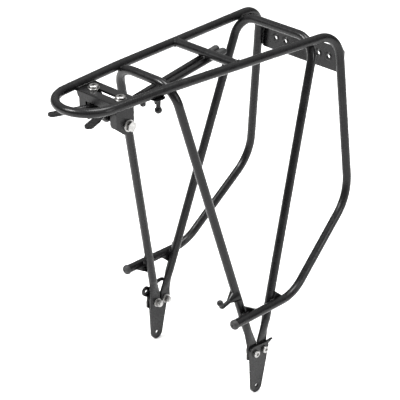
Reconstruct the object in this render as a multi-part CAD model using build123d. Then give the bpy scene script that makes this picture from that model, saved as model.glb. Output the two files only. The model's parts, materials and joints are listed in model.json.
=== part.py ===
from build123d import *
import math
import os

# Rear rack for a bicycle, welded from round steel tube, with two adjustable front stays.
# Frame: +X forward, +Y to the bicycle's left, +Z up, millimetres.
# Origin: midway between the two foot eyelets that bolt to the frame's dropouts.

# ---- tube sizes ----
TUBE_R = 5.0
TUBE_WALL = 1.5
TOUCH = 0.05

# ---- platform ----
RAIL_Z = 381.0
REAR_X = -148.0
REAR_HALF = 59.0
RAIL_TAPER = 0.0748
DIP_X = 90.0
DIP_SLOPE = 0.030
NOSE_R = 35.5
NOSE_X = 163.0
REAR_BEND_R = 30.0

# ---- pannier side frames ----
DROP_END = (-154.0, 77.5, 186.0)
LOWER_Z = 99.0
LOWER_Y = 86.7
LOWER_REAR_X = -53.5
LOWER_FRONT_X = 39.5
DROP_BEND_R = 55.0
LOWER_BEND_R = 50.0
END_CAP_R = 5.8
END_CAP_LENGTH = 5.0

# ---- leg hoops ----
FRONT_HOOP_X = 88.0
REAR_HOOP_X = -112.0
HOOP_BEND_R = 26.0
LEG_MEET = (-2.6, 81.8, 26.0)
LEG_ROUND_Z = 78.0
LEG_FLAT_Z = 55.0
LEG_END_Z = 37.0
FLAT_W = 14.6
FLAT_T = 3.4
FLAT_Y = 78.6
MITRE_X = -3.4
MID_TUBE_X = -1.4
SPACER_R = 3.4
WEB_T = 3.4
GUSSET = 12.0

# ---- light plate ----
PLATE_T = 2.5
PLATE_OVERHANG = 2.5
LIGHT_PLATE_Z = (330.0, 358.5)
LIGHT_HOLE_Z = 345.0
LIGHT_HOLE_PITCHES = (50.0, 80.0)
LIGHT_HOLE_R = 2.65

# ---- feet ----
PLATE_INNER_Y = FLAT_Y + FLAT_T / 2 + TOUCH
FOOT_PLATE_T = 3.0
LOOP_T = 2.6
FOOT_BOLT_X = (-11.5, 2.5)
FOOT_BOLT_Z = 43.5
FOOT_BOLT_R = 2.5
FOOT_HOLE_R = 2.7
EYELET_R = 2.75
EYELET_BOSS_R = 8.3

# ---- pegs ----
PEG_FLARE = 9.0

# ---- slotted front bracket ----
BRACKET_X = (126.0, 154.0)
BRACKET_TOP_Z = 377.0
BRACKET_T = 2.5
EAR_Y = 28.2
EAR_REAR_X = 130.0
EAR_BOTTOM_Z = 341.0
EAR_RETURN_W = 9.8
EAR_BOLT_X = 137.5
EAR_BOLT_Z = 350.0
SLOT_HALF = 24.6
SLOT_W = 6.6
CLAMP_BOLT_X = 140.7
CLAMP_BOLT_Y = 20.3
CLAMP_L = 11.0
CLAMP_OUTER = 3.9

# ---- stays ----
STAY_R = 3.5
STAY_CAP_R = 4.3
STAY_RUN = 0.05
TAB_W = 9.8
TAB_T = 2.5
TAB_BACK = 11.5
TAB_TIP = 9.5
NECK_LENGTH = 6.0
TAB_HOLE_R = 2.75
STAY_BENDS = {1: [4.0, 4.0], -1: [14.0]}
LEFT_STAY = [(-28.0, -2.6, 374.2), (152.5, 11.3, 356.15), (160.0, 12.3, 362.6), (181.5, 21.2, 362.6)]
RIGHT_STAY = [(-28.0, -13.1, 374.2), (107.6, -0.9, 359.5), (187.5, -24.5, 362.0)]

LEFT, RIGHT = 1, -1


# ---- general helpers ----
def vec(p):
    return Vector(*p)


def smooth_path(points, radii):
    """Straight runs through the points, with a tangent arc of the given radius at each inner one."""
    edges = []
    start = vec(points[0])
    for before, corner, after, radius in zip(points, points[1:], points[2:], radii):
        corner = vec(corner)
        back = (vec(before) - corner).normalized()
        ahead = (vec(after) - corner).normalized()
        half = math.radians(back.get_angle(ahead)) / 2
        reach = radius / math.tan(half)
        inward = (back + ahead).normalized()
        middle = corner + inward * (radius / math.sin(half) - radius)
        into, out_of = corner + back * reach, corner + ahead * reach
        edges += [Line(start, into), ThreePointArc(into, middle, out_of)]
        start = out_of
    edges.append(Line(start, vec(points[-1])))
    return Wire([piece.edge() for piece in edges])


def along(path, radius, bore=0.0):
    """A round bar that follows the path, or a tube where a bore radius is given."""
    mouth = Plane(path @ 0, z_dir=path % 0)
    section = mouth * Circle(radius)
    if bore:
        section -= mouth * Circle(bore)
    return sweep(section, path=path)


def tube(points, radii=()):
    return along(smooth_path(points, radii), TUBE_R, TUBE_R - TUBE_WALL)


def solid_bar(points, radii=(), radius=TUBE_R):
    return along(smooth_path(points, radii), radius)


def rod(start, end, radius):
    """A plain cylinder from start to end."""
    start, end = vec(start), vec(end)
    run = end - start
    return Plane(start, z_dir=run) * Cylinder(radius, run.length, align=(Align.CENTER, Align.CENTER, Align.MIN))


def block(x, y, z):
    """A box from its low and high X, Y and Z."""
    size = [high - low for low, high in (x, y, z)]
    return Pos(x[0], y[0], z[0]) * Box(*size, align=(Align.MIN, Align.MIN, Align.MIN))


def side(shape, which):
    """The left-hand shape as it is, or mirrored to the right."""
    return shape if which == LEFT else mirror(shape, about=Plane.XZ)


def group(shapes):
    return Compound(children=[solid for shape in shapes for solid in shape.solids()])


def hexagon_bar(across_flats, length):
    return extrude(RegularPolygon(across_flats / 2, 6, major_radius=False), length)


def disc_head(radius, height, crown):
    """A low domed screw head that stands on Z = 0."""
    head = Cylinder(radius, height, align=(Align.CENTER, Align.CENTER, Align.MIN))
    return fillet(head.edges().group_by(Axis.Z)[-1], crown)


def ring(outer, inner, height):
    washer = Cylinder(outer, height, align=(Align.CENTER, Align.CENTER, Align.MIN))
    hole = Cylinder(inner, height * 3)
    return chamfer((washer - hole).edges().group_by(Axis.Z)[-1].sort_by(SortBy.LENGTH)[-1:], height * 0.25)


# ---- lines that several pieces share ----
def rail_half(x):
    """Half the distance between the rails' centrelines at x."""
    return REAR_HALF - RAIL_TAPER * (x - REAR_X)


def rail_height(x):
    return RAIL_Z - DIP_SLOPE * max(0.0, x - DIP_X)


def leg_at(hoop_x, z):
    """The centre of a leg at height z, on the left."""
    share = (RAIL_Z - z) / (RAIL_Z - LEG_MEET[2])
    top = (hoop_x, rail_half(hoop_x), RAIL_Z)
    return tuple(a + (b - a) * share for a, b in zip(top, LEG_MEET))


def rail_points(which):
    """The side frame's corners, from the lower rail's front end up and forward to the nose."""
    points = [
        (LOWER_FRONT_X, LOWER_Y, LOWER_Z),
        (LOWER_REAR_X, LOWER_Y, LOWER_Z),
        DROP_END,
        (REAR_X, REAR_HALF, RAIL_Z),
        (DIP_X, rail_half(DIP_X), RAIL_Z),
    ]
    return [(x, which * y, z) for x, y, z in points]


RAIL_RADII = [LOWER_BEND_R, DROP_BEND_R, REAR_BEND_R, 300.0]


def nose_arc():
    """The round front end, tangent to both tapering rails and lying in the dipped front plane."""
    slope = math.atan(RAIL_TAPER)
    turn_x, turn_y = NOSE_X + NOSE_R * math.sin(slope), NOSE_R * math.cos(slope)
    left = Vector(turn_x, turn_y, rail_height(turn_x))
    right = Vector(turn_x, -turn_y, rail_height(turn_x))
    tip_x = NOSE_X + NOSE_R
    return ThreePointArc(left, Vector(tip_x, 0, rail_height(tip_x)), right)


def main_rail_path():
    arc = nose_arc()
    left = smooth_path(rail_points(LEFT) + [tuple(arc @ 0)], RAIL_RADII)
    right = smooth_path(rail_points(RIGHT) + [tuple(arc @ 1)], RAIL_RADII)
    return Wire(list(left.edges()) + [arc.edge()] + list(right.edges()))


def top_rail_bar(which):
    """A solid stand-in for one top rail, for coping what is welded to it."""
    start_x = REAR_X + REAR_BEND_R
    start = (start_x, which * rail_half(start_x), RAIL_Z)
    dip = (DIP_X, which * rail_half(DIP_X), RAIL_Z)
    arc = nose_arc()
    return solid_bar([start, dip, tuple(arc @ (0 if which == LEFT else 1))], [300.0], TUBE_R + TOUCH)


def hoop_points(hoop_x):
    foot = leg_at(hoop_x, LEG_ROUND_Z)
    top = leg_at(hoop_x, RAIL_Z)
    left = [foot, top]
    right = [(x, -y, z) for x, y, z in reversed(left)]
    return left + right


# ---- welded frame ----
def main_rail():
    path = main_rail_path()
    start = Plane(path @ 0, z_dir=path % 0)
    section = start * Circle(TUBE_R) - start * Circle(TUBE_R - TUBE_WALL)
    return sweep(section, path=path)


def flattened_end(hoop_x):
    """A left leg's bottom end, squashed flat, mitred against its neighbour and drilled for a bolt."""
    x, y, z = leg_at(hoop_x, LEG_ROUND_Z)
    flat_x, _, flat_z = leg_at(hoop_x, LEG_FLAT_Z)
    down = (vec(leg_at(hoop_x, LEG_FLAT_Z)) - vec((x, y, z))).normalized()
    oval = RectangleRounded(FLAT_W, FLAT_T, FLAT_T * 0.45)
    round_top = Plane((x, y, z), x_dir=(1, 0, 0), z_dir=down) * Circle(TUBE_R)
    flat_plane = Plane((flat_x, FLAT_Y, flat_z), x_dir=(1, 0, 0), z_dir=(0, 0, -1))
    shape = loft([round_top, flat_plane * oval]) + extrude(flat_plane * oval, flat_z - LEG_END_Z)
    beyond = (MITRE_X - 40, MITRE_X + TOUCH) if hoop_x > 0 else (MITRE_X - TOUCH, MITRE_X + 40)
    shape -= block(beyond, (60, 100), (20, LEG_FLAT_Z))
    for cut in foot_bolt_cuts(FOOT_HOLE_R):
        shape -= cut
    return shape


def leg_hoop(hoop_x):
    """One inverted U: leg, cross tube and leg, coped where it meets the rails, flattened at the feet."""
    hoop = tube(hoop_points(hoop_x), [HOOP_BEND_R, HOOP_BEND_R])
    for which in (LEFT, RIGHT):
        hoop += side(flattened_end(hoop_x), which)
        hoop -= top_rail_bar(which)
    return hoop.solids().sort_by(SortBy.VOLUME)[-1]


def mid_cross_tube():
    reach = rail_half(MID_TUBE_X)
    ends = [(MID_TUBE_X, reach, RAIL_Z), (MID_TUBE_X, -reach, RAIL_Z)]
    bar = tube(ends)
    for which in (LEFT, RIGHT):
        bar -= top_rail_bar(which)
    return bar.solids().sort_by(SortBy.VOLUME)[-1]


def light_plate():
    """Drilled plate across the backs of the two down tubes, for a lamp or reflector."""
    low, high = LIGHT_PLATE_Z
    half = REAR_HALF + PLATE_OVERHANG
    down_x = REAR_X + (DROP_END[0] - REAR_X) * (RAIL_Z - (low + high) / 2) / (RAIL_Z - DROP_END[2])
    face_x = down_x - TUBE_R - 0.45
    plate = block((face_x - PLATE_T, face_x), (-half, half), (low, high))
    plate = fillet(plate.edges().filter_by(Axis.X), 4.0)
    for pitch in LIGHT_HOLE_PITCHES:
        for y in (-pitch / 2, pitch / 2):
            spot = (face_x, y, LIGHT_HOLE_Z)
            dimple = Plane(spot, z_dir=(1, 0, 0)) * Cone(5.2, 4.2, 0.7, align=(Align.CENTER,) * 2 + (Align.MIN,))
            plate += dimple
            plate -= rod((face_x - 9, y, LIGHT_HOLE_Z), (face_x + 9, y, LIGHT_HOLE_Z), LIGHT_HOLE_R)
    return plate


def rail_spacer(hoop_x):
    """Two small gussets in the corners where a leg crosses just inside the lower rail."""
    leg_x, leg_y, _ = leg_at(hoop_x, LOWER_Z)
    middle_y = (leg_y + LOWER_Y) / 2
    gussets = []
    for up, back in ((1, -1), (-1, 1)):
        side_x = leg_at(hoop_x, LOWER_Z + up * GUSSET)[0]
        far_x = leg_x + back * (GUSSET + abs(side_x - leg_x) + 2.0)
        corner = Polyline((leg_x, LOWER_Z), (side_x, LOWER_Z + up * GUSSET), (far_x, LOWER_Z), close=True)
        gussets.append(upright(make_face(corner), middle_y - WEB_T / 2, WEB_T))
    shape = gussets[0] + gussets[1] + rod((leg_x, leg_y, LOWER_Z), (leg_x, LOWER_Y, LOWER_Z), SPACER_R)
    shape -= rod(leg_at(hoop_x, LOWER_Z - 40), leg_at(hoop_x, LOWER_Z + 40), TUBE_R + TOUCH)
    shape -= rod((LOWER_FRONT_X, LOWER_Y, LOWER_Z), (LOWER_REAR_X, LOWER_Y, LOWER_Z), TUBE_R + TOUCH)
    return shape


def rail_spacers():
    pieces = [side(rail_spacer(x), which) for x in (FRONT_HOOP_X, REAR_HOOP_X) for which in (LEFT, RIGHT)]
    return group(pieces)


def rail_end_cap(which):
    """A bulbous plug with a small drain hole in the lower rail's open front end."""
    plug = Cylinder(TUBE_R - TUBE_WALL - 0.15, 7, align=(Align.CENTER, Align.CENTER, Align.MAX))
    dome = Cylinder(END_CAP_R, END_CAP_LENGTH, align=(Align.CENTER, Align.CENTER, Align.MIN))
    dome = fillet(dome.edges().group_by(Axis.Z)[-1], END_CAP_R * 0.62)
    dome = fillet(dome.edges().group_by(Axis.Z)[0], 0.6)
    cap = plug + dome - Cylinder(1.1, 30)
    return Plane((LOWER_FRONT_X + TOUCH, which * LOWER_Y, LOWER_Z), z_dir=(1, 0, 0)) * cap


# ---- feet ----
def foot_outline():
    """The tapering shield of a foot plate, in X and Z, around its eyelet at the origin."""
    corners = [(0.0, 0.0, EYELET_BOSS_R), (5.2, 47.0, 6.0), (-13.6, 46.5, 5.0)]
    return make_hull([(Pos(x, z) * Circle(radius)).edge() for x, z, radius in corners])


def upright(sketch, y_low, thickness):
    """Extrudes an X-Z sketch into a plate whose low Y is given."""
    return extrude(Plane((0, y_low, 0), x_dir=(1, 0, 0), z_dir=(0, -1, 0)) * sketch, -thickness)


def foot_bolt_cuts(radius):
    return [rod((x, 60, FOOT_BOLT_Z), (x, 100, FOOT_BOLT_Z), radius) for x in FOOT_BOLT_X]


def foot_plate(which):
    """Tapering plate outboard of the legs; the left one has a small horn at its rear top corner."""
    outline = foot_outline()
    if which == LEFT:
        outline += make_face(Polyline((-13.0, 51.4), (-25.8, 51.8), (-18.3, 48.3), close=True))
    plate = upright(outline, PLATE_INNER_Y, FOOT_PLATE_T)
    plate -= rod((0, 60, 0), (0, 100, 0), EYELET_R)
    for cut in foot_bolt_cuts(FOOT_HOLE_R):
        plate -= cut
    return side(plate, which)


def outer_face(which):
    """The Y of the face that a foot bolt's head rests on: the right foot carries the loop too."""
    return PLATE_INNER_Y + FOOT_PLATE_T + (LOOP_T if which == RIGHT else 0.0)


def foot_bolt(x, which):
    """Low-headed hexagon-socket screw, its head outboard."""
    face = outer_face(which)
    grip = face - (FLAT_Y - FLAT_T / 2)
    head = disc_head(4.2, 3.2, 1.2) - Pos(0, 0, 1.4) * hexagon_bar(3.5, 5)
    shank = Cylinder(FOOT_BOLT_R, grip + 7.0, align=(Align.CENTER, Align.CENTER, Align.MAX))
    return Plane((x, face, FOOT_BOLT_Z), z_dir=(0, 1, 0)) * (head + shank)


def foot_washer(x):
    return Plane((x, FLAT_Y - FLAT_T / 2, FOOT_BOLT_Z), z_dir=(0, -1, 0)) * ring(5.3, FOOT_HOLE_R, 1.0)


def foot_nut(x):
    """Hexagon nut with a round locking collar, inboard of the washer."""
    body = hexagon_bar(8.0, 4.0) + Cylinder(3.7, 5.0, align=(Align.CENTER, Align.CENTER, Align.MIN))
    nut = body - Cylinder(FOOT_BOLT_R, 20)
    return Plane((x, FLAT_Y - FLAT_T / 2 - 1.0, FOOT_BOLT_Z), z_dir=(0, -1, 0)) * nut


def foot_fasteners(which):
    bolts = group([side(foot_bolt(x, which), which) for x in FOOT_BOLT_X])
    washers = group([side(foot_washer(x), which) for x in FOOT_BOLT_X])
    nuts = group([side(foot_nut(x), which) for x in FOOT_BOLT_X])
    return bolts, washers, nuts


def bungee_loop():
    """Flat strip under the right foot's bolt heads: an arch behind the legs and a drilled front ear."""
    arch = Pos(-9.3, 55.5) * (Circle(13.0) - Circle(9.4)) - Pos(-9.3, 25.5) * Rectangle(60, 60)
    legs = [Pos(x, 48.5) * Rectangle(3.6, 15) for x in (-20.5, 1.9)]
    base = Pos(-5.0, 41.5) * RectangleRounded(34.6, 12.5, 3.0)
    ear = Pos(13.2, 59.5) * (Circle(6.3) + Pos(-4.0, -3.0) * Rectangle(8, 9)) - Pos(13.8, 60.0) * Circle(2.3)
    strap = Polyline((0.2, 58), (6.0, 58), (10.5, 54.5), (12.3, 43), (11.6, 38), (2.0, 40), close=True)
    sketch = arch + legs[0] + legs[1] + base + make_face(strap) + ear
    plate = upright(sketch, PLATE_INNER_Y + FOOT_PLATE_T, LOOP_T)
    for cut in foot_bolt_cuts(FOOT_HOLE_R):
        plate -= cut
    return side(plate, RIGHT)


# ---- pegs ----
def pump_peg():
    """Flared stub under the left rail that ends in a ball, for the end of a pump."""
    x = 106.8
    y, z = rail_half(x), rail_height(x)
    sweep_in = CenterArc((PEG_FLARE, -PEG_FLARE), PEG_FLARE - 2.2, 90, 90)
    wing = make_face(Polyline((PEG_FLARE, -2.2), (0, -2.2), (0, -PEG_FLARE), (2.2, -PEG_FLARE)) + sweep_in)
    flare = Pos(x + 3.0, y, z - 2.6) * revolve(Plane.XZ * wing, axis=Axis.Z)
    neck = rod((x, y, z - 4), (x + 1.0, y + 0.5, z - 18.5), 2.4)
    ball = Pos(x + 1.0, y + 0.5, z - 19.0) * Sphere(3.9)
    return flare + neck + ball - top_rail_bar(LEFT)


def rail_stud():
    """Small round-ended boss under the left rail, ahead of the pump peg."""
    x = 127.0
    y, z = rail_half(x), rail_height(x)
    boss = Pos(x, y, z - 3.0) * Cylinder(3.0, 6.2, align=(Align.CENTER, Align.CENTER, Align.MAX))
    return fillet(boss.edges().group_by(Axis.Z)[0], 2.2) - top_rail_bar(LEFT)


def lower_hook():
    """Hook on the left front leg: a flared base, an arm forward and down, and a ball at its tip."""
    base = leg_at(FRONT_HOOP_X, 126.0)
    x, y, z = base
    turns = [(0, 0, -4), (10, 1, -6.2), (23.8, 1.8, -9.4), (26.4, 2, -2.3)]
    route = [(x + dx, y + dy, z + dz) for dx, dy, dz in turns]
    arm = solid_bar(route, [6.0, 3.5], 2.5)
    ball = Pos(*route[-1]) * Sphere(3.7)
    flare = Plane((x, y, z - 3.5), z_dir=(1, 0.05, -0.28)) * Cone(8.5, 2.4, 12.5, align=(Align.CENTER,) * 2 + (Align.MIN,))
    leg = rod(leg_at(FRONT_HOOP_X, 80), leg_at(FRONT_HOOP_X, 170), TUBE_R + TOUCH)
    return arm + ball + flare - leg


# ---- slotted front bracket ----
def bracket_ear(which):
    """Side ear with a rounded front corner, returned inwards along its front edge."""
    front = BRACKET_X[1]
    outline = Polyline(
        (EAR_REAR_X, BRACKET_TOP_Z - BRACKET_T),
        (EAR_REAR_X, EAR_BOTTOM_Z),
        (144.0, EAR_BOTTOM_Z + 0.5),
        (front, 349.5),
        (front, BRACKET_TOP_Z - BRACKET_T),
        close=True,
    )
    ear = upright(make_face(outline), EAR_Y - BRACKET_T, BRACKET_T)
    ear -= rod((EAR_BOLT_X, 10, EAR_BOLT_Z), (EAR_BOLT_X, 40, EAR_BOLT_Z), 3.2)
    inner = EAR_Y - EAR_RETURN_W
    strip = block((front - BRACKET_T, front), (inner, EAR_Y), (349.5, BRACKET_TOP_Z - BRACKET_T))
    low_inner = strip.edges().filter_by(Axis.X).sort_by(Axis.Y)[:2].sort_by(Axis.Z)[0]
    strip = fillet(low_inner, 4.0)
    return side(ear + strip, which)


def front_bracket():
    """Folded steel bracket between the rails: slotted top, front lip and two bolted side ears."""
    rear, front = BRACKET_X
    half = rail_half(rear) - 4.0
    top = block((rear, front), (-half, half), (BRACKET_TOP_Z - BRACKET_T, BRACKET_TOP_Z))
    lip = block((front - BRACKET_T, front), (-31.5, 31.5), (BRACKET_TOP_Z - 9.5, BRACKET_TOP_Z))
    lip = fillet(lip.edges().filter_by(Axis.X).group_by(Axis.Z)[0], 6.5)
    body = top + lip + bracket_ear(LEFT) + bracket_ear(RIGHT)
    body = fillet(body.edges().filter_by(Axis.Y).group_by(Axis.Z)[-1].sort_by(Axis.X)[-1], 1.8)
    slot = Pos(CLAMP_BOLT_X, 0, BRACKET_TOP_Z) * extrude(
        Rot(0, 0, 90) * SlotOverall(2 * SLOT_HALF, SLOT_W), 10, both=True
    )
    body -= slot
    for which in (LEFT, RIGHT):
        body -= top_rail_bar(which)
    return body.solids().sort_by(SortBy.VOLUME)[-1]


def ear_bolt_set(which):
    """Hexagon bolt through an ear, with a washer each side and a nut inside."""
    face = EAR_Y
    bolt = hexagon_bar(10.0, 4.2) + Cylinder(3.0, 11.5, align=(Align.CENTER, Align.CENTER, Align.MAX))
    bolt = Plane((EAR_BOLT_X, face + 1.4, EAR_BOLT_Z), z_dir=(0, 1, 0)) * bolt
    outer = Plane((EAR_BOLT_X, face, EAR_BOLT_Z), z_dir=(0, 1, 0)) * ring(6.6, 3.15, 1.4)
    nut = hexagon_bar(10.0, 5.0) - Cylinder(3.0, 20)
    nut = Plane((EAR_BOLT_X, face - BRACKET_T, EAR_BOLT_Z), z_dir=(0, -1, 0)) * nut
    return side(bolt, which), side(outer, which), side(nut, which)


# ---- stays and their clamps ----
def stay_line(which):
    """Two points on the straight run of a stay that passes through its clamp."""
    points = LEFT_STAY if which == LEFT else RIGHT_STAY
    return (points[0], points[1]) if which == LEFT else (points[1], points[2])


def stay_direction(which):
    start, end = stay_line(which)
    return (vec(end) - vec(start)).normalized()


def stay_tab():
    """The squashed, drilled front end of a stay: along +X, with its hole's centre at the origin."""
    round_r, flat = TAB_W / 2, TAB_T / 2
    flat_x = -TAB_BACK
    neck_x = flat_x - NECK_LENGTH
    end_x = TAB_TIP - round_r
    outer = Polyline((TAB_TIP, 0), (neck_x, 0), (neck_x, STAY_R), (flat_x, round_r), (end_x, round_r))
    blank = revolve(make_face(outer + CenterArc((end_x, 0), round_r, 0, 90)), axis=Axis.X)
    taper = STAY_R + 0.1
    profile = Polyline(
        (neck_x, -taper), (neck_x, taper), (flat_x, flat), (TAB_TIP, flat), (TAB_TIP, -flat), (flat_x, -flat), close=True
    )
    squash = extrude(Plane.XZ * make_face(profile), TAB_W, both=True)
    return (blank & squash) - Cylinder(TAB_HOLE_R, TAB_W)


def stay(which):
    points = LEFT_STAY if which == LEFT else RIGHT_STAY
    tip = vec(points[-1])
    heading = (tip - vec(points[-2])).normalized()
    level = Plane(tip, x_dir=heading, z_dir=Vector(0, 0, 1) - heading * heading.Z)
    bar_end = tip - heading * (TAB_BACK + NECK_LENGTH)
    bar = along(smooth_path(points[:-1] + [tuple(bar_end)], STAY_BENDS[which]), STAY_R)
    return bar + level * stay_tab()


def stay_cap(which):
    """Rounded plastic bulb pushed over the rear end of a stay."""
    points = LEFT_STAY if which == LEFT else RIGHT_STAY
    start = vec(points[0])
    back = (start - vec(points[1])).normalized()
    shell = rod(start - back * 9.0, start + back * 1.2, STAY_CAP_R)
    dome = Pos(*(start + back * 1.2)) * Sphere(STAY_CAP_R)
    socket = rod(start - back * 12.0, start, STAY_R)
    return shell + dome - socket


def clamp_frame(which):
    """The clamp's top plane on its bolt's axis, turned along the stay, and the nearest point of the stay."""
    start, _ = stay_line(which)
    heading = stay_direction(which)
    pivot = Vector(CLAMP_BOLT_X, which * CLAMP_BOLT_Y, BRACKET_TOP_Z - BRACKET_T - 0.3)
    eye = vec(start) + heading * (pivot - vec(start)).dot(heading)
    level = Vector(heading.X, heading.Y, 0).normalized()
    return Plane(pivot, x_dir=level, z_dir=(0, 0, 1)), eye, heading


def lock_screw_seat(which):
    """Where the lock screw's head meets the clamp's underside, square to the stay."""
    _, eye, heading = clamp_frame(which)
    down = (Vector(0, 0, -1) + heading * heading.Z).normalized()
    return Plane(eye + down * (STAY_R + 2.6), z_dir=down)


def clamp_block(which):
    """Clamp body that hangs on the slot bolt and grips its stay inboard of the bolt."""
    top, eye, heading = clamp_frame(which)
    reach = abs((eye - top.origin).dot(top.y_dir))
    drop = top.origin.Z - eye.Z
    outer, inner = CLAMP_OUTER, reach + 2.0
    middle = -which * (inner - outer) / 2
    slab = Pos(0, middle, 0) * Box(CLAMP_L, inner + outer, drop - 0.5, align=(Align.CENTER,) * 2 + (Align.MAX,))
    slab = fillet(slab.edges().filter_by(Axis.Z), 3.0)
    eye_body = Pos(0, -which * reach, -drop) * Rot(0, 90, 0) * Cylinder(STAY_R + 2.6, CLAMP_L)
    shape = top * (slab + eye_body)
    shape -= rod(eye - heading * 30, eye + heading * 30, STAY_R + STAY_RUN)
    shape -= rod(top.origin + Vector(0, 0, 5), top.origin - Vector(0, 0, 11.5), 3.0 + STAY_RUN)
    shape -= lock_screw_seat(which) * Cylinder(2.0, 12)
    shape -= lock_screw_seat(which) * Cylinder(4.6, 6, align=(Align.CENTER,) * 2 + (Align.MIN,))
    return shape.solids().sort_by(SortBy.VOLUME)[-1]


def clamp_lock_screw(which):
    """Short hexagon screw up through the clamp's underside against the stay."""
    screw = hexagon_bar(7.0, 3.4) + Cylinder(2.0, 2.3, align=(Align.CENTER, Align.CENTER, Align.MAX))
    return lock_screw_seat(which) * screw


def clamp_bolt(which):
    """Domed socket screw that hangs the clamp from the slot."""
    head = disc_head(5.4, 3.0, 1.9) - Pos(0, 0, 1.4) * hexagon_bar(4.0, 5)
    shank = Cylinder(3.0, 14.0, align=(Align.CENTER, Align.CENTER, Align.MAX))
    return Pos(CLAMP_BOLT_X, which * CLAMP_BOLT_Y, BRACKET_TOP_Z + TOUCH + 1.2) * (head + shank)


def clamp_washer(which):
    washer = ring(6.4, 3.1, 1.2)
    return Pos(CLAMP_BOLT_X, which * CLAMP_BOLT_Y, BRACKET_TOP_Z + TOUCH) * washer


# ---- write every node ----
def build_nodes():
    nodes = {
        "main_rail": main_rail(),
        "front_hoop": leg_hoop(FRONT_HOOP_X),
        "rear_hoop": leg_hoop(REAR_HOOP_X),
        "mid_cross_tube": mid_cross_tube(),
        "light_plate": light_plate(),
        "rail_spacers": rail_spacers(),
        "pump_peg": pump_peg(),
        "rail_stud": rail_stud(),
        "lower_hook": lower_hook(),
        "bungee_loop": bungee_loop(),
        "front_bracket": front_bracket(),
    }
    for name, which in (("left", LEFT), ("right", RIGHT)):
        bolts, washers, nuts = foot_fasteners(which)
        ear_bolt, ear_washer, ear_nut = ear_bolt_set(which)
        nodes.update(
            {
                f"{name}_rail_end_cap": rail_end_cap(which),
                f"{name}_foot_plate": foot_plate(which),
                f"{name}_foot_bolts": bolts,
                f"{name}_foot_washers": washers,
                f"{name}_foot_nuts": nuts,
                f"{name}_ear_bolt": ear_bolt,
                f"{name}_ear_washer": ear_washer,
                f"{name}_ear_nut": ear_nut,
                f"{name}_stay": stay(which),
                f"{name}_stay_cap": stay_cap(which),
                f"{name}_clamp_block": clamp_block(which),
                f"{name}_clamp_lock_screw": clamp_lock_screw(which),
                f"{name}_clamp_bolt": clamp_bolt(which),
                f"{name}_clamp_washer": clamp_washer(which),
            }
        )
    return nodes


os.makedirs("parts", exist_ok=True)
for node, shape in build_nodes().items():
    export_step(shape, f"parts/{node}.step")
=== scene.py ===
"""A rear rack in satin black powder coat with stainless fasteners, on a pale studio floor.

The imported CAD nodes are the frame. This script gives them their finishes, adds the weld beads
and screw threads as small pieces, and sets up the floor, the lights and the camera.
"""

import json
import math

import bpy
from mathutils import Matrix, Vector


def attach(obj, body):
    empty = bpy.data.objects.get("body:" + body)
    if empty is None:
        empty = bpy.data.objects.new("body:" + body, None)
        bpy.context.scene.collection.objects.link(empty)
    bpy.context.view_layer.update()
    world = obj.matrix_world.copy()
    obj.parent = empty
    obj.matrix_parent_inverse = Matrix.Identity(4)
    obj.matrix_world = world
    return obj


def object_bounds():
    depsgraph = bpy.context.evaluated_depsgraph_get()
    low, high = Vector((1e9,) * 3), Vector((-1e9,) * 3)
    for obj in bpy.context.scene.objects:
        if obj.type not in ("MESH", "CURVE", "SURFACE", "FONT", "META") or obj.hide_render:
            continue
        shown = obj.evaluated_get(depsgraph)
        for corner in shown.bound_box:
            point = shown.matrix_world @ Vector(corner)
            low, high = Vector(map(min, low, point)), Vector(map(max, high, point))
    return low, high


MM = 0.001

# ---- the photograph's camera ----
CAMERA_AT = Vector((1.1666, 1.1637, 1.0427))
CAMERA_AIM = Vector((0.0080, 0.0, 0.2089))
LENS_MM = 149.6
SENSOR_MM = 36.0

# ---- rack sizes that the added pieces follow, in metres ----
TUBE_R = 5.0 * MM
WELD_TOUCH = 0.05 * MM
WELD_NEAR = 0.03 * MM
RAIL_Z = 381.0 * MM
REAR_X = -148.0 * MM
REAR_HALF = 59.0 * MM
RAIL_TAPER = 0.0748
DIP_X = 90.0 * MM
DIP_SLOPE = 0.030
LOWER_Y = 86.7 * MM
LOWER_Z = 99.0 * MM
LEG_MEET = Vector((-2.6, 81.8, 26.0)) * MM
HOOP_XS = (88.0 * MM, -112.0 * MM)
MID_TUBE_X = -1.4 * MM
SPACER_R = 3.4 * MM
SPACER_INSET = 0.3 * MM
BRACKET_X = (127.0 * MM, 153.0 * MM)
BRACKET_BEAD_INSET = 4.9 * MM
BRACKET_BEAD_LIFT = 0.6 * MM
BRACKET_TOP_Z = 377.0 * MM
PLATE_Z = (333.0 * MM, 355.5 * MM)
PLATE_FACE_X = -154.6 * MM
PLATE_BEAD_GAP = 0.8 * MM
PLATE_BEAD_INSET = 3.1 * MM
DOWN_TUBE_SPLAY = 18.5 / 195.0

# ---- weld beads and threads ----
BEAD_R = 1.05 * MM
BEAD_STEP = 0.3 * MM
BEAD_SWELL = 0.13
BEAD_TIP = 0.35
SPACER_BEAD = 0.8
PLATE_BEAD = 1.15
RIPPLES_PER_METRE = 620.0
LOOP_SECTORS = 40
SPACER_POINTS = 24
FEWEST_SPOTS = 6
THREAD_PITCH = 0.8 * MM
THREAD_DEPTH = 0.22 * MM
THREAD_HALF = 0.36
THREAD_LIFT = 0.01 * MM
THREAD_FADE = 6
THREAD_LENGTH = 0.9 * MM
THREAD_STEPS = 24
NUT_FACE_Y = 70.9 * MM
NUT_BITE = 0.15 * MM
FOOT_BOLTS_X = (-11.5 * MM, 2.5 * MM)
FOOT_BOLT_Z = 43.5 * MM
FOOT_BOLT_R = 2.5 * MM

# ---- floor and light ----
FLOOR_SIZE = 9.0
FLOOR_GAP = 0.0004


# ---- material helpers ----
def new_material(name):
    material = bpy.data.materials.new(name)
    material.use_nodes = True
    tree = material.node_tree
    shader = tree.nodes["Principled BSDF"]
    coords = tree.nodes.new("ShaderNodeTexCoord")
    return material, tree, shader, coords.outputs["Object"]


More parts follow.
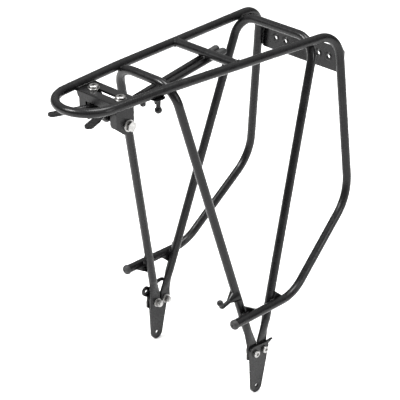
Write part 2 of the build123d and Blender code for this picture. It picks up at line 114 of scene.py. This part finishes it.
def noise(tree, coords, scale, detail=3.0, stretch=None):
    """A noise texture's factor at that many features a metre, drawn out along an axis by stretch."""
    node = tree.nodes.new("ShaderNodeTexNoise")
    node.inputs["Scale"].default_value = scale
    node.inputs["Detail"].default_value = detail
    if stretch:
        mapping = tree.nodes.new("ShaderNodeMapping")
        mapping.inputs["Scale"].default_value = stretch
        tree.links.new(coords, mapping.inputs["Vector"])
        coords = mapping.outputs["Vector"]
    tree.links.new(coords, node.inputs["Vector"])
    return node.outputs["Fac"]


def remap(tree, factor, low, high, to_low, to_high):
    node = tree.nodes.new("ShaderNodeMapRange")
    for socket, value in zip(("From Min", "From Max", "To Min", "To Max"), (low, high, to_low, to_high)):
        node.inputs[socket].default_value = value
    tree.links.new(factor, node.inputs["Value"])
    return node.outputs["Result"]


def blend_colours(tree, factor, first, second):
    node = tree.nodes.new("ShaderNodeMix")
    node.data_type = "RGBA"
    tree.links.new(factor, node.inputs["Factor"])
    for socket, colour in (("A", first), ("B", second)):
        target = [s for s in node.inputs if s.name == socket and s.type == "RGBA"][0]
        if isinstance(colour, tuple):
            target.default_value = (*colour, 1.0)
        else:
            tree.links.new(colour, target)
    return [s for s in node.outputs if s.type == "RGBA"][0]


def bump(tree, height, strength, distance, normal=None):
    node = tree.nodes.new("ShaderNodeBump")
    node.inputs["Strength"].default_value = strength
    node.inputs["Distance"].default_value = distance
    tree.links.new(height, node.inputs["Height"])
    if normal:
        tree.links.new(normal, node.inputs["Normal"])
    return node.outputs["Normal"]


# ---- materials ----
def powder_coat():
    """Satin black powder coat: orange peel, slightly uneven sheen and sparse pale dust specks."""
    material, tree, shader, coords = new_material("powder_coat_look")
    mottle = remap(tree, noise(tree, coords, 28.0, 2.0), 0.35, 0.65, 0.0, 1.0)
    body = blend_colours(tree, mottle, (0.0028, 0.0028, 0.0031), (0.0054, 0.0053, 0.0056))
    specks = remap(tree, noise(tree, coords, 1900.0, 1.0), 0.74, 0.80, 0.0, 0.55)
    colour = blend_colours(tree, specks, body, (0.030, 0.030, 0.029))
    tree.links.new(colour, shader.inputs["Base Color"])
    sheen = remap(tree, noise(tree, coords, 160.0, 4.0), 0.3, 0.7, 0.22, 0.34)
    tree.links.new(sheen, shader.inputs["Roughness"])
    peel = bump(tree, noise(tree, coords, 720.0, 2.0), 0.22, 0.00022)
    grain = bump(tree, noise(tree, coords, 3600.0, 2.0), 0.16, 0.00008, peel)
    tree.links.new(grain, shader.inputs["Normal"])
    shader.inputs["Specular IOR Level"].default_value = 0.26
    return material


def stainless():
    """Machined stainless steel: fine drawn lines, faint smudges and a soft gleam."""
    material, tree, shader, coords = new_material("stainless_look")
    smudge = remap(tree, noise(tree, coords, 240.0, 3.0), 0.3, 0.7, 0.0, 1.0)
    colour = blend_colours(tree, smudge, (0.46, 0.455, 0.445), (0.30, 0.297, 0.29))
    tree.links.new(colour, shader.inputs["Base Color"])
    lines = noise(tree, coords, 2600.0, 2.0, (1.0, 0.12, 1.0))
    tree.links.new(remap(tree, lines, 0.3, 0.7, 0.20, 0.36), shader.inputs["Roughness"])
    tree.links.new(bump(tree, lines, 0.18, 0.00006), shader.inputs["Normal"])
    shader.inputs["Metallic"].default_value = 1.0
    return material


def cap_plastic():
    """Moulded black plastic with a fine eroded grain."""
    material, tree, shader, coords = new_material("cap_plastic_look")
    tone = remap(tree, noise(tree, coords, 300.0, 3.0), 0.3, 0.7, 0.0, 1.0)
    tree.links.new(
        blend_colours(tree, tone, (0.006, 0.006, 0.0063), (0.011, 0.011, 0.0113)), shader.inputs["Base Color"]
    )
    tree.links.new(remap(tree, tone, 0.0, 1.0, 0.48, 0.60), shader.inputs["Roughness"])
    tree.links.new(bump(tree, noise(tree, coords, 2800.0, 2.0), 0.35, 0.0001), shader.inputs["Normal"])
    return material


def floor_paper():
    """Pale studio paper with the faintest tooth."""
    material, tree, shader, coords = new_material("floor_look")
    tone = noise(tree, coords, 3.0, 4.0)
    colour = blend_colours(tree, tone, (0.90, 0.90, 0.90), (0.93, 0.93, 0.93))
    tree.links.new(colour, shader.inputs["Base Color"])
    tree.links.new(bump(tree, noise(tree, coords, 900.0, 2.0), 0.05, 0.0002), shader.inputs["Normal"])
    shader.inputs["Roughness"].default_value = 0.9
    shader.inputs["Specular IOR Level"].default_value = 0.1
    return material


# ---- the CAD nodes ----
def dress(nodes, slots, looks):
    for name, node in nodes.items():
        node.data.materials.clear()
        node.data.materials.append(looks[slots[name]])


# ---- added pieces ----
def bead_mesh(name, points, radius, closed, sides=10):
    """A weld bead along the points: a round section whose radius swells and shrinks like laid ripples."""
    count = len(points)
    vertices, faces = [], []
    travelled = 0.0
    for i, point in enumerate(points):
        ahead = points[(i + 1) % count] if closed or i + 1 < count else point
        behind = points[i - 1] if closed or i > 0 else point
        run = (ahead - behind).normalized()
        travelled += (point - points[i - 1]).length if i else 0.0
        across = run.orthogonal().normalized() if i == 0 else (across - run * across.dot(run)).normalized()
        other = run.cross(across)
        swell = radius * (1.0 + BEAD_SWELL * math.sin(travelled * RIPPLES_PER_METRE * math.tau))
        if not closed and i in (0, count - 1):
            swell = radius * BEAD_TIP
        for k in range(sides):
            turn = k * math.tau / sides
            vertices.append(point + (across * math.cos(turn) + other * math.sin(turn)) * swell)
    rings = count if closed else count - 1
    for i in range(rings):
        for k in range(sides):
            a, b = i * sides + k, i * sides + (k + 1) % sides
            c, d = ((i + 1) % count) * sides + (k + 1) % sides, ((i + 1) % count) * sides + k
            faces.append((a, b, c, d))
    if not closed:
        faces.append(tuple(reversed(range(sides))))
        faces.append(tuple(range((count - 1) * sides, count * sides)))
    mesh = bpy.data.meshes.new(name)
    mesh.from_pydata([tuple(v) for v in vertices], [], faces)
    mesh.polygons.foreach_set("use_smooth", [True] * len(mesh.polygons))
    return mesh


def place(mesh, body, look):
    piece = bpy.data.objects.new(mesh.name, mesh)
    bpy.context.scene.collection.objects.link(piece)
    mesh.materials.append(look)
    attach(piece, body)
    return piece


def rail_half(x):
    """Half the distance between the platform rails' centrelines at x."""
    return REAR_HALF - RAIL_TAPER * (x - REAR_X)


def rail_height(x):
    return RAIL_Z - DIP_SLOPE * max(0.0, x - DIP_X)


def leg_at(hoop_x, z):
    share = (RAIL_Z - z) / (RAIL_Z - LEG_MEET.z)
    return Vector((hoop_x, rail_half(hoop_x), RAIL_Z)).lerp(LEG_MEET, share)


def evenly(points, closed):
    """The same route with its points a bead step apart."""
    route = points + [points[0]] if closed else points
    out, carry = [], 0.0
    for start, end in zip(route, route[1:]):
        length = (end - start).length
        while carry < length:
            out.append(start.lerp(end, carry / length))
            carry += BEAD_STEP
        carry -= length
    return out


def cope_loop(node, x, which):
    """The edge of the saddle that a tube's node has where it fits against the platform rail near x."""
    anchor = Vector((x, which * rail_half(x), rail_height(x)))
    along = Vector((1.0, -which * RAIL_TAPER, 0.0)).normalized()
    spots = []
    for vertex in node.data.vertices:
        spot = node.matrix_world @ vertex.co
        offset = spot - anchor
        away = (offset - along * offset.dot(along)).length
        if abs(away - TUBE_R - WELD_TOUCH) < WELD_NEAR:
            spots.append(spot)
    if len(spots) < FEWEST_SPOTS:
        return []
    middle = sum(spots, Vector()) / len(spots)
    facing = middle - anchor
    facing = (facing - along * facing.dot(along)).normalized()
    other = along.cross(facing)
    outermost = {}
    for spot in spots:
        offset = spot - middle
        a, b = offset.dot(along), offset.dot(other)
        sector = int((math.atan2(b, a) / math.tau + 0.5) * LOOP_SECTORS) % LOOP_SECTORS
        reach = math.hypot(a, b)
        if sector not in outermost or reach > outermost[sector][0]:
            outermost[sector] = (reach, spot)
    return [outermost[sector][1] for sector in sorted(outermost)]


def spacer_loop(hoop_x, which):
    """The saddle where a leg's spacer meets the lower rail."""
    centre = leg_at(hoop_x, LOWER_Z)
    points = []
    for i in range(SPACER_POINTS):
        turn = i * math.tau / SPACER_POINTS
        across, up = SPACER_R * math.cos(turn), SPACER_R * math.sin(turn)
        y = LOWER_Y - math.sqrt(TUBE_R ** 2 - up ** 2) - SPACER_INSET
        points.append(Vector((centre.x + across, which * y, LOWER_Z + up)))
    return points


def add_welds(nodes, look):
    routes = []
    for which, side in ((1, "left"), (-1, "right")):
        copes = (("front_hoop", HOOP_XS[0]), ("rear_hoop", HOOP_XS[1]), ("mid_cross_tube", MID_TUBE_X))
        for name, x in copes:
            routes.append((f"weld_{side}_{name}", cope_loop(nodes[name], x, which), True, BEAD_R))
        for name, x in (("front", HOOP_XS[0]), ("rear", HOOP_XS[1])):
            routes.append((f"weld_{side}_{name}_spacer", spacer_loop(x, which), True, BEAD_R * SPACER_BEAD))
        bead_z = BRACKET_TOP_Z + BRACKET_BEAD_LIFT
        bracket = [Vector((x, which * (rail_half(x) - BRACKET_BEAD_INSET), bead_z)) for x in BRACKET_X]
        routes.append((f"weld_{side}_bracket", bracket, False, BEAD_R))
        plate = []
        for z in PLATE_Z:
            tube_y = REAR_HALF + DOWN_TUBE_SPLAY * (RAIL_Z - z)
            plate.append(Vector((PLATE_FACE_X + PLATE_BEAD_GAP, which * (tube_y - PLATE_BEAD_INSET), z)))
        routes.append((f"weld_{side}_light_plate", plate, False, BEAD_R * PLATE_BEAD))
    for name, points, closed, radius in routes:
        if points:
            mesh = bead_mesh(name, evenly(points, closed), radius, closed)
            place(mesh, "frame", look)


def thread_mesh(name, foot, heading, length, radius):
    """A screw thread's ridge, wound around a bolt's end."""
    across = heading.orthogonal().normalized()
    other = heading.cross(across)
    count = int(length / THREAD_PITCH * THREAD_STEPS)
    vertices, faces = [], []
    for i in range(count + 1):
        turn = i * math.tau / THREAD_STEPS
        outward = across * math.cos(turn) + other * math.sin(turn)
        centre = foot + heading * (i / THREAD_STEPS * THREAD_PITCH)
        fade = min(1.0, i / THREAD_FADE, (count - i) / THREAD_FADE)
        half = THREAD_PITCH * THREAD_HALF
        for drop, lift in ((-half, 0.0), (0.0, THREAD_DEPTH * fade), (half, 0.0), (0.0, -THREAD_DEPTH)):
            vertices.append(centre + heading * drop + outward * (radius + lift + THREAD_LIFT))
    for i in range(count):
        for k in range(4):
            a, b = i * 4 + k, i * 4 + (k + 1) % 4
            faces.append((a, b, b + 4, a + 4))
    faces.append((3, 2, 1, 0))
    last = count * 4
    faces.append((last, last + 1, last + 2, last + 3))
    mesh = bpy.data.meshes.new(name)
    mesh.from_pydata([tuple(v) for v in vertices], [], faces)
    return mesh


def add_threads(look):
    for which, side in ((1, "left"), (-1, "right")):
        for i, x in enumerate(FOOT_BOLTS_X):
            foot = Vector((x, which * (NUT_FACE_Y - NUT_BITE), FOOT_BOLT_Z))
            heading = Vector((0.0, -which, 0.0))
            mesh = thread_mesh(f"thread_{side}_foot_{i + 1}", foot, heading, THREAD_LENGTH, FOOT_BOLT_R)
            place(mesh, "frame", look)


# ---- floor, light and camera ----
def build_floor(lowest):
    mesh = bpy.data.meshes.new("floor")
    half = FLOOR_SIZE / 2
    corners = [(-half, -half, 0), (half, -half, 0), (half, half, 0), (-half, half, 0)]
    mesh.from_pydata(corners, [], [(0, 1, 2, 3)])
    floor = bpy.data.objects.new("floor", mesh)
    floor.location.z = lowest - FLOOR_GAP
    bpy.context.scene.collection.objects.link(floor)
    mesh.materials.append(floor_paper())


def softbox(name, at, aim, size, power):
    light = bpy.data.lights.new(name, "AREA")
    light.shape = "RECTANGLE"
    light.size, light.size_y = size
    light.energy = power
    lamp = bpy.data.objects.new(name, light)
    lamp.location = at
    lamp.rotation_euler = (aim - at).to_track_quat("-Z", "Y").to_euler()
    bpy.context.scene.collection.objects.link(lamp)


def build_light():
    world = bpy.data.worlds.new("studio")
    world.use_nodes = True
    world.node_tree.nodes["Background"].inputs["Color"].default_value = (1.0, 1.0, 1.0, 1.0)
    tree = world.node_tree
    heading = tree.nodes.new("ShaderNodeTexCoord").outputs["Generated"]
    parts = tree.nodes.new("ShaderNodeSeparateXYZ")
    tree.links.new(heading, parts.inputs["Vector"])
    strength = remap(tree, parts.outputs["Z"], 0.0, 0.9, 0.12, 1.0)
    tree.links.new(strength, tree.nodes["Background"].inputs["Strength"])
    bpy.context.scene.world = world
    bpy.context.scene.view_settings.view_transform = "Standard"
    middle = Vector((0.0, 0.0, 0.2))
    softbox("key", Vector((1.9, -0.9, 2.3)), middle, (0.7, 0.7), 95.0)
    softbox("top", Vector((-0.2, 0.3, 2.8)), middle, (1.3, 1.3), 85.0)
    softbox("fill", Vector((-0.4, 2.6, 1.2)), middle, (0.5, 1.0), 22.0)


def build_camera():
    camera = bpy.data.cameras.new("camera")
    camera.lens = LENS_MM
    camera.sensor_width = SENSOR_MM
    camera.clip_start = 0.05
    camera.clip_end = 50.0
    eye = bpy.data.objects.new("camera", camera)
    eye.location = CAMERA_AT
    eye.rotation_euler = (CAMERA_AIM - CAMERA_AT).to_track_quat("-Z", "Y").to_euler()
    bpy.context.scene.collection.objects.link(eye)
    bpy.context.scene.camera = eye


# ---- build ----
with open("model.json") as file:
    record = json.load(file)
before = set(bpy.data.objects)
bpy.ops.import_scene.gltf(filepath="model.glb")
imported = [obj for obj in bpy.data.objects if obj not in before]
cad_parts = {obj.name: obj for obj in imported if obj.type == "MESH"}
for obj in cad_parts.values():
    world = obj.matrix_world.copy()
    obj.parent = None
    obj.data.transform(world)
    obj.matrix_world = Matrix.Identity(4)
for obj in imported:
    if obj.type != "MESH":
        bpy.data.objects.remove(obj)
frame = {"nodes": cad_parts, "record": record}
cad_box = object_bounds()
slots = {part["node"]: part["material_slot"] for part in frame["record"]["subparts"]}
looks = {"powder_coat": powder_coat(), "stainless": stainless(), "cap_plastic": cap_plastic()}
dress(frame["nodes"], slots, looks)
add_welds(frame["nodes"], looks["powder_coat"])
add_threads(looks["stainless"])
build_floor(cad_box[0][2])
build_light()
build_camera()
